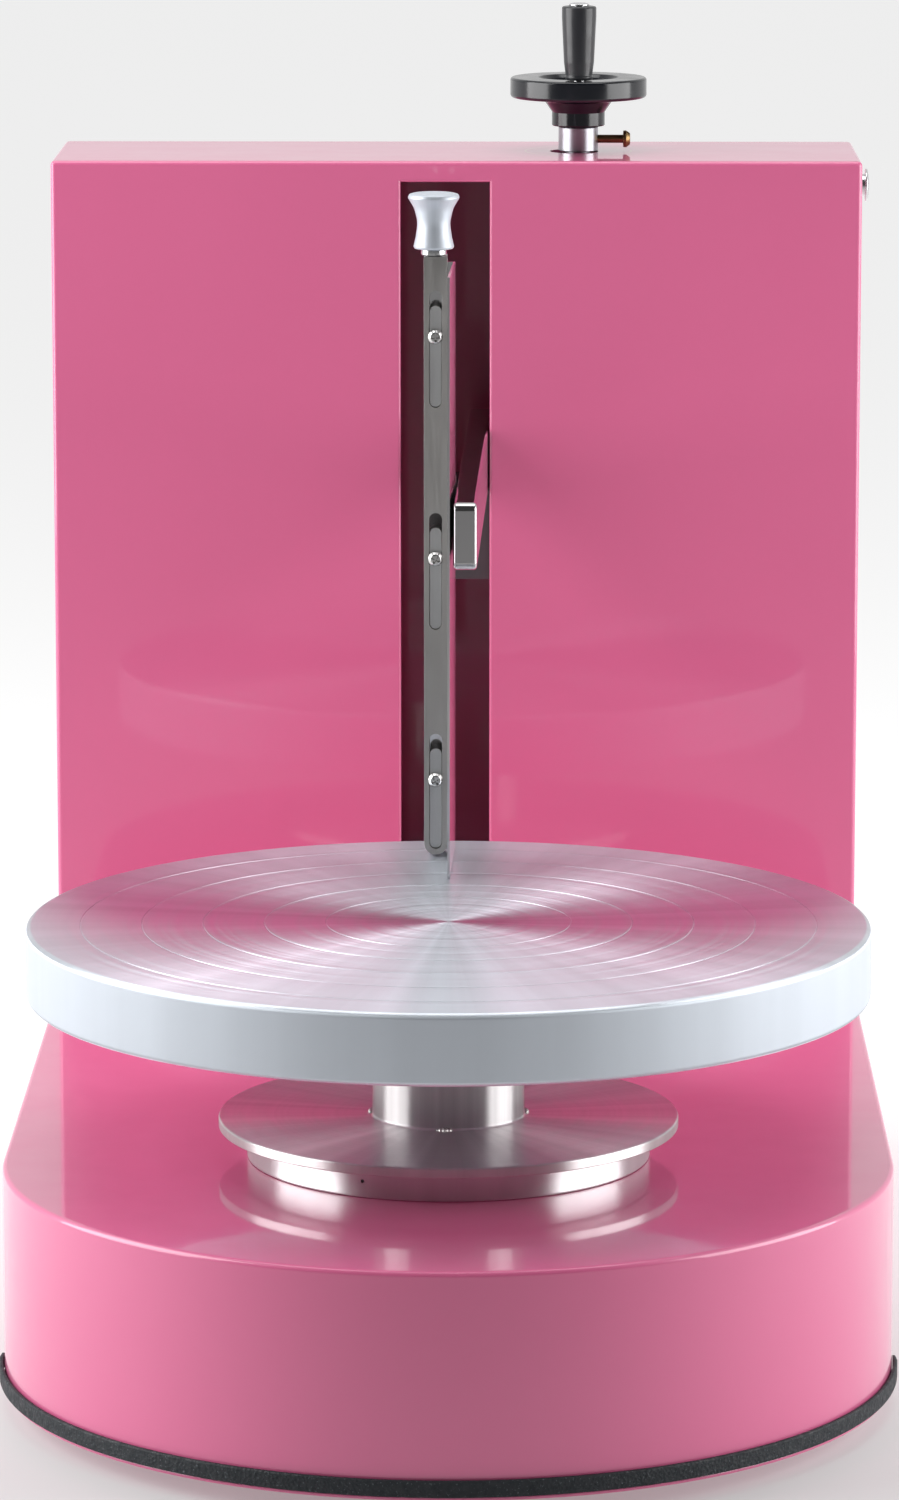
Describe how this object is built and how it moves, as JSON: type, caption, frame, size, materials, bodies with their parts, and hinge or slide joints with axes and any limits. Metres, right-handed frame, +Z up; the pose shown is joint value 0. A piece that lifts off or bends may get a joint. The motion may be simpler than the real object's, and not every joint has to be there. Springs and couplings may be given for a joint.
{
  "type": "cake icing turntable",
  "caption": "Motor-driven turntable on a D-shaped base, with a column whose handwheel raises a sliding arm, scraper bar and blade.",
  "frame": {"origin": "on the floor under the middle of the bounding box", "axes": "+Z up, -Y the front with the turntable, +Y the column's back, +X the side with the button and the power switch"},
  "size_m": [0.3772, 0.6416, 0.553],
  "materials": {
    "pink_paint": "gloss powder coat",
    "turned_aluminium": "fine turned",
    "satin_aluminium": "satin anodised",
    "stainless": "fine brushed",
    "mirror_steel": "polished",
    "dark_steel": "blackened",
    "cast_metal": "machined casting",
    "power_supply_case": "folded case",
    "black_gloss": "gloss phenolic",
    "black_plastic": "fine texture",
    "black_rubber": "grained",
    "brass": "machined",
    "circuit_board": "solder mask"
  },
  "bodies": {
    "frame": {"base_shell": "pink_paint", "bottom_plate": "pink_paint", "edge_trim": "black_rubber", "foot_front_left": "black_rubber", "foot_front_right": "black_rubber", "foot_rear_left": "black_rubber", "foot_rear_right": "black_rubber", "column_shell": "pink_paint", "rear_cover": "pink_paint", "cover_screw_1": "stainless", "cover_screw_2": "stainless", "cover_screw_3": "stainless", "cover_screw_4": "stainless", "bearing_seat": "stainless", "upper_bearing": "stainless", "lower_bearing": "stainless", "motor_bracket": "dark_steel", "gear_motor": "cast_metal", "drive_belt": "black_rubber", "control_board": "circuit_board", "power_supply": "power_supply_case", "rocker_frame": "black_plastic", "speed_pot": "dark_steel", "button_bezel": "mirror_steel", "inlet_socket": "black_plastic", "lower_rod_block": "cast_metal", "upper_rod_block": "cast_metal", "guide_rod_left": "stainless", "guide_rod_right": "stainless", "lower_screw_bearing": "stainless", "upper_screw_bearing": "stainless"},
    "turntable": {"turntable_plate": "turned_aluminium", "hub_flange": "stainless", "spindle": "dark_steel", "driven_pulley": "turned_aluminium", "spindle_nut": "dark_steel"},
    "motor_pulley": {"motor_pulley": "turned_aluminium"},
    "handwheel": {"handwheel": "black_gloss", "lead_screw": "stainless", "shaft_collar": "stainless", "collar_screw": "brass", "crank_bolt": "stainless"},
    "crank_handle": {"crank_handle": "black_gloss"},
    "carriage": {"carriage_block": "cast_metal", "carriage_bush_left": "stainless", "carriage_bush_right": "stainless", "lift_nut": "brass", "arm_bracket": "dark_steel"},
    "arm": {"lift_arm": "stainless", "scraper_mount": "dark_steel", "scraper_bar": "stainless", "knob_washer": "stainless", "grip_knob": "satin_aluminium"},
    "blade": {"scraper_blade": "mirror_steel", "blade_screw_1": "stainless", "blade_screw_2": "stainless", "blade_screw_3": "stainless"},
    "push_button": {"push_button": "mirror_steel"},
    "power_rocker": {"power_rocker": "black_plastic"},
    "speed_knob": {"speed_knob": "black_plastic"}
  },
  "joints": [
    {"name": "turntable_spin", "type": "hinge", "parent": "frame", "child": "turntable", "pos_m": [-0.00135, -0.1248, 0.15], "axis": [0, 0, 1], "continuous": true},
    {"name": "motor_pulley_spin", "type": "hinge", "parent": "frame", "child": "motor_pulley", "pos_m": [-0.00135, 0.0252, 0.059], "axis": [0, 0, 1], "continuous": true},
    {"name": "handwheel_turn", "type": "hinge", "parent": "frame", "child": "handwheel", "pos_m": [0.05465, 0.2562, 0.5], "axis": [0, 0, 1], "range_deg": [-8100.5, 0]},
    {"name": "carriage_lift", "type": "slide", "parent": "frame", "child": "carriage", "axis": [0, 0, 1], "range_m": [0, 0.09]},
    {"name": "crank_handle_spin", "type": "hinge", "parent": "handwheel", "child": "crank_handle", "pos_m": [0.05465, 0.2342, 0.53], "axis": [0, 0, 1], "continuous": true},
    {"name": "arm_reach", "type": "slide", "parent": "carriage", "child": "arm", "axis": [0.0157, 0.9999, 0], "range_m": [-0.035, 0.02]},
    {"name": "blade_height", "type": "slide", "parent": "arm", "child": "blade", "axis": [0, 0, 1], "range_m": [0, 0.006]},
    {"name": "push_button_press", "type": "slide", "parent": "frame", "child": "push_button", "axis": [-1, 0, 0], "range_m": [0, 0.0015], "stiffness_N_per_m": 400},
    {"name": "power_rocker_tilt", "type": "hinge", "parent": "frame", "child": "power_rocker", "pos_m": [0.18115, -0.0798, 0.048], "axis": [0, 1, 0], "range_deg": [-18, 0]},
    {"name": "speed_knob_turn", "type": "hinge", "parent": "frame", "child": "speed_knob", "pos_m": [0.11865, 0.3132, 0.055], "axis": [0, 1, 0], "range_deg": [-280, 0]}
  ],
  "couplings": [
    {"joint": "motor_pulley_spin", "follows": "turntable_spin", "ratio": 4.3333},
    {"joint": "handwheel_turn", "follows": "carriage_lift", "rad_per_m": -1570.8}
  ]
}
